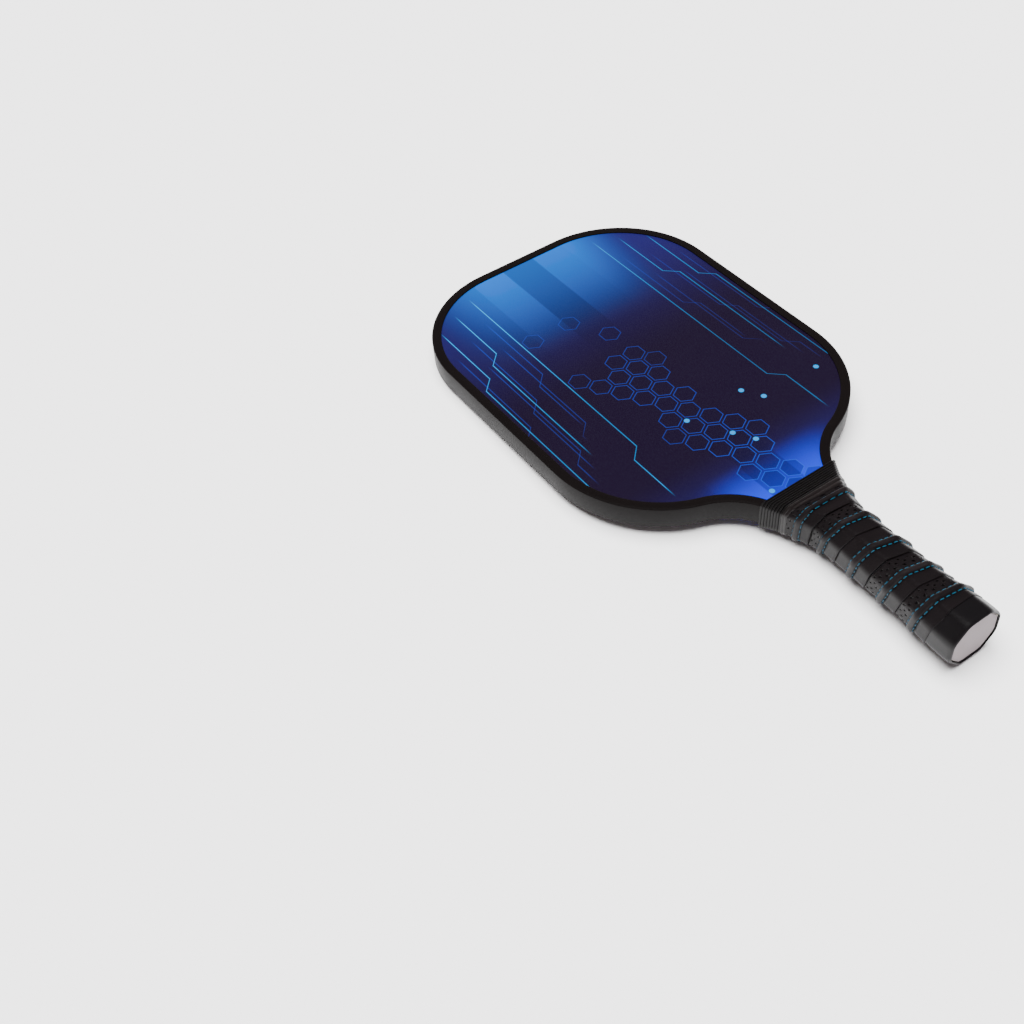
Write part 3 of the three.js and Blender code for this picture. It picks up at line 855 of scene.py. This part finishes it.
def wrap():
    """The grip's strip: flat and profiled first, then pierced, wound on, and trimmed at both ends."""
    rows = len(STRIP_PROFILE)
    columns = round((LAST_TURN - FIRST_TURN) * COLUMNS_PER_TURN)
    first = round(FIRST_TURN * COLUMNS_PER_TURN)
    strip = start_piece(
        "stitched_wrap", bpy.ops.mesh.primitive_grid_add,
        x_subdivisions=columns, y_subdivisions=rows - 1, size=2,
    )
    for vertex in strip.data.vertices:
        row = round((vertex.co.y + 1) / 2 * (rows - 1))
        column = first + round((vertex.co.x + 1) / 2 * columns)
        across, height = STRIP_PROFILE[row]
        swell = 0.15 * math.sin(column * 0.19) + 0.1 * math.sin(column * 0.47 + across * 0.5)
        free = 1 - abs(across) / STRIP_HALF_WIDTH
        vertex.co = Vector((column * BOARD / COLUMNS_PER_TURN, across, height + swell * free))
    pierce(strip)
    strip_map = strip.data.attributes.new("strip", "FLOAT_VECTOR", "POINT")
    for vertex in strip.data.vertices:
        strip_map.data[vertex.index].vector = vertex.co
    lay(strip, on_strip)
    merge(strip, 0.00002)
    edit(strip)
    for station, outward in ((WRAP_START, -1), (WRAP_END, 1)):
        bpy.ops.mesh.select_all(action="SELECT")
        bpy.ops.mesh.bisect(
            plane_co=at_paddle(0, station, 0), plane_no=(0, outward, 0), clear_outer=True
        )
    done()
    apply_modifier(strip, "SOLIDIFY", thickness=0.0011, offset=-1.0, use_rim=True)
    smooth(strip, 55)
    finish_piece(strip, wrap_leather(), "grip", "grip_tape")
    return strip


def pierce(strip):
    """Sinks round holes in the band between the overlap and the ridge."""
    edit(strip, "VERT")

    def is_hole(place, slack=0.01):
        column = round(place.x / BOARD * COLUMNS_PER_TURN)
        for number, row in enumerate(HOLE_ROWS):
            in_column = column % HOLE_STEP == (number % 2) * (HOLE_STEP // 2)
            if abs(place.y - row) < slack and in_column:
                return not 1.85 < place.x / BOARD < 2.45
        return False

    pick(strip, "VERT", is_hole)
    bpy.ops.mesh.bevel(affect="VERTICES", offset=0.46, segments=1)
    bpy.ops.mesh.bevel(affect="VERTICES", offset=0.18, segments=1)
    bpy.ops.mesh.select_mode(type="FACE")
    done()
    for face in strip.data.polygons:
        face.select = len(face.vertices) == 8 and is_hole(face.center, 0.2)
    bpy.ops.object.mode_set(mode="EDIT")
    bpy.ops.mesh.extrude_region_move(TRANSFORM_OT_translate={"value": (0, 0, -0.8)})
    done()


def stitches():
    """Thread on both sides of the ridge: one stitch shaped once, repeated along the strip."""
    stitch = start_piece(
        "wrap_stitches", bpy.ops.mesh.primitive_cylinder_add, vertices=6, radius=0.36, depth=1.5,
        rotation=(0, math.pi / 2, 0),
    )
    settle(stitch)
    edit(stitch)
    for end in (-1, 1):
        pick(stitch, "FACE", lambda c: c.x * end > 0.7)
        bpy.ops.mesh.extrude_region_move(TRANSFORM_OT_translate={"value": (0.34 * end, 0, -0.1)})
        bpy.ops.transform.resize(value=(1, 0.5, 0.5))
    done()
    pattern = [vertex.co.copy() for vertex in stitch.data.vertices]
    copies = []
    step = BOARD / STITCHES_PER_TURN
    first = round(-0.25 * STITCHES_PER_TURN)
    last = round((LAST_TURN - 0.2) * STITCHES_PER_TURN)
    for number in range(first, last):
        for side in (-1, 1):
            copy = stitch.copy()
            copy.data = stitch.data.copy()
            bpy.context.scene.collection.objects.link(copy)
            proud = 0.12 if side < 0 else -0.03
            shift = Vector(((number + 0.25 * side) * step, side * STITCH_OFFSET, proud))
            for vertex, place in zip(copy.data.vertices, pattern):
                vertex.co = on_strip(place + shift)
            copies.append(copy)
    bpy.data.objects.remove(stitch)
    deselect()
    for copy in copies:
        copy.select_set(True)
    bpy.context.view_layer.objects.active = copies[0]
    bpy.ops.object.join()
    joined = bpy.context.object
    joined.name = "wrap_stitches"
    smooth(joined, 60)
    finish_piece(joined, thread(), "grip")
    return joined


# ============================================================================ rings round the handle

def sleeve(name, profile, columns=96):
    """A ring whose section is a closed list of (station, height), rolled round the handle.

    A section point may also be a function of the turn that gives its station and height."""
    count = len(profile)
    ring = start_piece(
        name, bpy.ops.mesh.primitive_grid_add, x_subdivisions=columns, y_subdivisions=count, size=2
    )

    def roll(place):
        row = round((place.y + 1) / 2 * count) % count
        turn = round((place.x + 1) / 2 * columns) / columns
        point = profile[row]
        station, height = point(turn) if callable(point) else point
        return on_handle(turn, station, height)

    lay(ring, roll)
    merge(ring)
    face_out(ring)
    return ring


def throat_collar():
    """Rubber collar with fine ribs round it and a soft bead at each end."""
    ribs = 6
    lower_bead = 2.3
    upper_bead = 1.3
    profile = [(COLLAR_START + 0.4, -1.5), (COLLAR_START, -1.0), (COLLAR_START, -0.3)]
    profile += [(COLLAR_START + 0.3, 0.1), (COLLAR_START + 0.9, 0.3), (COLLAR_START + 1.6, 0.22)]
    first = COLLAR_START + lower_bead
    last = COLLAR_TOP - upper_bead
    pitch = (last - first) / ribs
    for rib in range(ribs + 1):
        start = first + rib * pitch
        depth = 0.95 if rib == 0 else 0.62
        profile += [(start - 0.2, 0.02), (start, -depth * 0.6)]
        profile += [(start + 0.2, -depth), (start + 0.4, -depth * 0.6)]
        profile += [(start + 0.58, 0.0), (start + pitch * 0.62, 0.12)]
    profile += [(COLLAR_TOP - 0.25, 0.12), (COLLAR_TOP, -0.15)]
    profile += [(COLLAR_TOP, -0.9), (COLLAR_TOP - 0.3, -1.4)]
    collar = sleeve("throat_collar", profile, 120)
    smooth(collar, 70)
    finish_piece(collar, moulded("collar_rubber", (8, 7, 7), (19, 17, 17), 0.42), "collar", "grip_collar")
    return collar


def finishing_tape():
    """Thin smooth tape over the tapered end of the wrap, with two soft folds."""
    def edge(turn):
        return 114.6 - 3.4 * ease(share(turn, 0.1, 0.42)) + 3.4 * ease(share(turn, 0.55, 0.95))

    def point(part, height):
        return lambda turn: (mix(edge(turn), COLLAR_START + 1.5, part), height)

    fold = [
        (0.0, -0.5), (0.0, 0.1), (0.06, 0.45), (0.16, 0.55), (0.3, 0.5), (0.4, 0.25), (0.46, 0.2),
        (0.52, 0.6), (0.62, 0.72), (0.76, 0.6),
        (0.86, 0.2), (0.92, -0.1), (1.0, -0.2), (1.0, -0.9), (0.5, -0.9),
    ]
    tape = sleeve("finishing_tape_band", [point(part, height) for part, height in fold])
    smooth(tape, 60)
    film = moulded("tape_film", (12, 9, 9), (26, 21, 20), 0.36, 3000.0, 0.06, 0.3)
    finish_piece(tape, film, "finishing", "finishing_tape")
    return tape


def end_ring(depth, keep):
    """A ring of the butt's end face: depth in from the end, and the share of its size that is left."""
    corners = section_corners(0)

    def place(turn):
        x, z = soft_point(corners, turn, BUTT_SOFTNESS)
        return at_paddle(x * keep, depth, z * keep)
    return place


def capped(name, rings, columns=96):
    """A closed form from rings round the handle's line, with both ends drawn together to a point."""
    count = len(rings) - 1
    form = start_piece(
        name, bpy.ops.mesh.primitive_grid_add, x_subdivisions=columns, y_subdivisions=count, size=2
    )

    def roll(place):
        row = round((place.y + 1) / 2 * count)
        turn = round((place.x + 1) / 2 * columns) / columns
        return rings[row](turn)

    lay(form, roll)
    merge(form)
    face_out(form)
    return form


def butt_cap():
    """Moulded cap: softly rounded end, a narrow rim, and a shallow recess for the disc."""
    def outside(station, height):
        return lambda turn: on_handle(turn, station, height)

    middle = at_paddle(0, 2.2, 0)
    rings = [lambda turn: middle]
    rings += [end_ring(2.2, 0.5), end_ring(2.2, 0.88), end_ring(1.4, 0.897)]
    rings += [end_ring(0.5, 0.905), end_ring(0.12, 0.915)]
    rings += [end_ring(0.0, 0.922), end_ring(0.06, 0.936), end_ring(0.3, 0.955), end_ring(0.75, 0.972)]
    rings += [outside(1.4, -0.26), outside(2.4, -0.12), outside(3.6, -0.04)]
    rings += [outside(5.0, 0.0), outside(6.5, 0.0)]
    rings += [outside(9.0, -0.03), outside(12.0, -0.08), outside(15.0, -0.15), outside(18.0, -0.22)]
    rings += [outside(21.0, -0.3), outside(22.0, -0.5), outside(22.0, -2.2)]
    inner = at_paddle(0, 22.0, 0)
    rings += [lambda turn: inner]
    cap = capped("butt_cap_moulding", rings)
    smooth(cap, 50)
    plastic = moulded("cap_plastic", (7, 6, 7), (17, 15, 16), 0.36, 2000.0, 0.08)
    finish_piece(cap, plastic, "cap", "butt_cap")
    return cap


def butt_disc():
    """Thin disc with a soft edge, seated in the cap's recess."""
    front = at_paddle(0, 0.75, 0)
    back = at_paddle(0, 1.9, 0)
    rings = [lambda turn: back, end_ring(1.9, 0.6), end_ring(1.9, 0.868)]
    rings += [end_ring(1.2, 0.874), end_ring(0.9, 0.868)]
    rings += [end_ring(0.78, 0.855), end_ring(0.75, 0.83), end_ring(0.75, 0.4), lambda turn: front]
    disc = capped("butt_disc_face", list(reversed(rings)))
    smooth(disc, 45)
    finish_piece(disc, disc_card(), "disc", "butt_disc")
    return disc


# ============================================================================ finishes of the frame

def finish_frame():
    """Every part of the frame gets its own finish, the hidden ones too."""
    laminate = woven("glass_laminate", (52, 58, 52), (98, 106, 92), 2.2, 0.38)
    veil = woven("bonding_veil", (190, 186, 174), (222, 218, 208), 0.9, 0.7)
    foam = fibrous("handle_foam", (176, 160, 118), (206, 192, 152), 900.0)
    felt = fibrous("felt_backing", (34, 34, 36), (74, 74, 78), 1600.0)
    wire = steel_wire()
    tape = moulded("adhesive_tape", (196, 190, 176), (222, 218, 206), 0.5)
    looks = {
        "honeycomb_core": clear_plastic("core_plastic", (206, 208, 210), (236, 238, 240)),
        "front_scrim": veil,
        "back_scrim": veil,
        "front_face_skin": laminate,
        "back_face_skin": laminate,
        "front_print_film": playing_face_print("front_print", 1),
        "back_print_film": playing_face_print("back_print", -1),
        "edge_guard_tape": tape,
        "edge_guard": moulded("guard_rubber_plain", (18, 17, 18), (38, 35, 35), 0.4),
        "front_handle_half": foam,
        "back_handle_half": foam,
        "butt_cap": moulded("cap_plastic_plain", (18, 17, 19), (44, 41, 43), 0.36),
        "front_cap_staple": wire,
        "back_cap_staple": wire,
        "butt_disc_pad": tape,
        "butt_disc": disc_card(),
        "grip_backing": felt,
        "grip_tape": moulded("wrap_plain", (20, 18, 19), (40, 36, 37), 0.45),
        "finishing_tape": moulded("tape_film_plain", (24, 21, 21), (52, 46, 44), 0.4),
        "grip_collar": moulded("collar_rubber_plain", (18, 17, 18), (44, 41, 42), 0.45),
    }
    for name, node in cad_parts.items():
        node.data.materials.clear()
        node.data.materials.append(looks[name])


# ============================================================================ studio

RIDGE_BELOW = 1.15  # how far the wrap's last ridge reaches below the butt cap
FLOOR_SIZE = 9  # metres
LIGHT_POWER = 11.2
LIGHT_SPREAD = 55  # degrees
LIGHT_LEAN = (-7, -5)  # degrees from straight above, along the paddle and across it
LENS = 46.25  # focal length, millimetres
LENS_SHIFT = -0.0293
CAMERA_PLACE = (-388.1, -416.9, 551.55)  # millimetres, in the frame
CAMERA_TURN = 32.41  # degrees to the right of the paddle's line
CAMERA_DOWN = 46.9
CAMERA_ROLL = -4.49


def studio():
    """Pale floor that the wrap's last ridge and the head's far edge rest on, and soft light."""
    deselect()
    bpy.ops.mesh.primitive_plane_add(size=FLOOR_SIZE)
    floor = bpy.context.object
    floor.name = "studio_floor"
    far_height = PANEL_MIDDLE / MM - GUARD_HALF
    tilt = math.atan2(far_height + RIDGE_BELOW, LENGTH - GUARD_CORNER - LAST_RIDGE)
    pivot = at_paddle(0, LAST_RIDGE, 0)
    pivot.z = -RIDGE_BELOW * MM
    floor.matrix_world = Matrix.Translation(pivot) @ Matrix.Rotation(tilt, 4, "X")
    paint = Finish("studio_paint")
    paint.set(Base_Color=(0.92, 0.915, 0.92, 1), Roughness=0.9, Specular_IOR_Level=0.1)
    floor.data.materials.append(paint.material)

    world = bpy.data.worlds.new("studio_surround")
    bpy.context.scene.world = world
    world.use_nodes = True
    tree = world.node_tree
    background = tree.nodes["Background"]
    direction = tree.nodes.new("ShaderNodeTexCoord")
    parts = tree.nodes.new("ShaderNodeSeparateXYZ")
    sky = tree.nodes.new("ShaderNodeValToRGB")
    Finish.set_stops(sky, [
        (0.0, (0.8, 0.7, 0.69, 1)), (0.3, (0.5, 0.44, 0.44, 1)), (0.52, (0.12, 0.1, 0.11, 1)),
        (0.85, (0.12, 0.11, 0.12, 1)), (0.97, (1.6, 1.6, 1.6, 1)),
    ])
    tree.links.new(direction.outputs["Generated"], parts.inputs[0])
    tree.links.new(parts.outputs["Z"], sky.inputs[0])
    tree.links.new(sky.outputs["Color"], background.inputs["Color"])
    background.inputs["Strength"].default_value = 1.0

    overhead = bpy.data.lights.new("overhead_light", "SUN")
    overhead.energy = LIGHT_POWER
    overhead.angle = math.radians(LIGHT_SPREAD)
    holder = bpy.data.objects.new("overhead_light", overhead)
    bpy.context.scene.collection.objects.link(holder)
    holder.rotation_euler = (math.radians(LIGHT_LEAN[0]), math.radians(LIGHT_LEAN[1]), 0)
    holder.visible_glossy = False
    return floor


def camera():
    """The camera stands to the left of the butt and looks down along the paddle."""
    lens = bpy.data.cameras.new("view")
    lens.lens = LENS
    lens.sensor_width = 36
    lens.shift_x = LENS_SHIFT
    lens.clip_start = 0.01
    stand = bpy.data.objects.new("view", lens)
    bpy.context.scene.collection.objects.link(stand)
    azimuth = math.radians(CAMERA_TURN)
    down = math.radians(CAMERA_DOWN)
    roll = math.radians(CAMERA_ROLL)
    level_share = math.cos(down)
    ahead = Vector((math.sin(azimuth) * level_share, math.cos(azimuth) * level_share, -math.sin(down)))
    level = Vector((math.cos(azimuth), -math.sin(azimuth), 0))
    upright = level.cross(ahead)
    right = level * math.cos(roll) + upright * math.sin(roll)
    up = right.cross(ahead)
    turn = Matrix((right, up, -ahead)).transposed().to_4x4()
    stand.matrix_world = Matrix.Translation(Vector(CAMERA_PLACE) * MM) @ turn
    bpy.context.scene.camera = stand


camera()
studio()
finish_frame()
edge_guard()
wrap()
stitches()
finishing_tape()
throat_collar()
butt_cap()
butt_disc()
